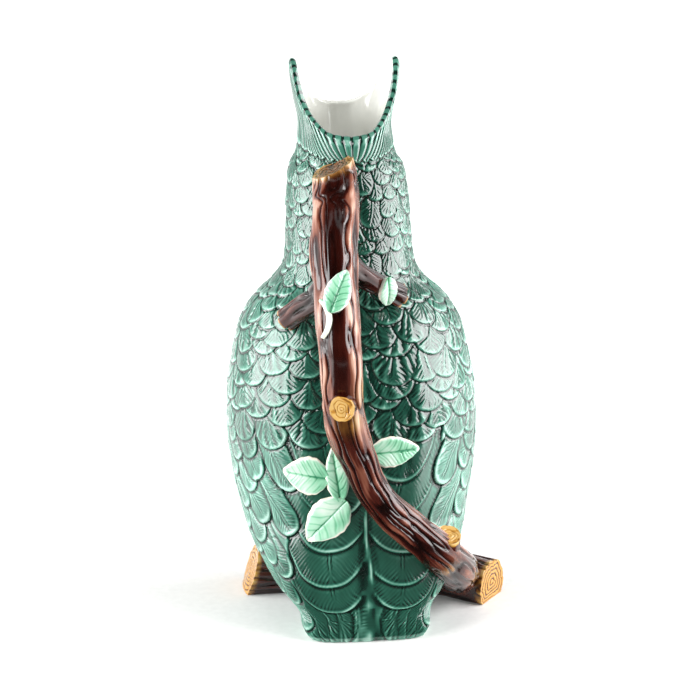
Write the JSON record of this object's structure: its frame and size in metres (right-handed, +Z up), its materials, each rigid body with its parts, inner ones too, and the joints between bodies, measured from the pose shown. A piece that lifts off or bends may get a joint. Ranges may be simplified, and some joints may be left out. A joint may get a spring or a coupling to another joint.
{
  "type": "parrot jug",
  "caption": "Glazed earthenware jug shaped as a perched parrot: it pours through the open crest, and a branch with twigs and leaves is its handle.",
  "frame": {"origin": "on the table, in the middle of the tail's foot", "axes": "+Z up, +Y the way the bird looks, so the handle and tail are at -Y, and +X to the right as seen from behind"},
  "size_m": [0.1321, 0.1574, 0.253],
  "materials": {
    "green_glaze": "glossy bluish green lead glaze over moulded feathers",
    "brown_glaze": "glossy manganese brown glaze over moulded bark",
    "ochre_glaze": "glossy ochre glaze",
    "leaf_glaze": "glossy mint green glaze with cream edges",
    "black_glaze": "glossy black glaze"
  },
  "bodies": {
    "root": {"body_shell": "green_glaze", "perch_log": "brown_glaze", "branch_handle": "brown_glaze", "twig_right": "brown_glaze", "twig_left": "brown_glaze", "stub_elbow": "ochre_glaze", "stub_lower": "ochre_glaze", "leaf_down": "leaf_glaze", "leaf_up": "leaf_glaze", "leaf_side": "leaf_glaze", "leaf_right": "leaf_glaze", "leaf_grip": "leaf_glaze", "leaf_stalk": "leaf_glaze", "leaf_twig": "leaf_glaze", "beak_upper": "ochre_glaze", "beak_lower": "ochre_glaze", "eye_right": "black_glaze", "eye_left": "black_glaze", "foot_right": "ochre_glaze", "foot_left": "ochre_glaze"}
  },
  "joints": []
}
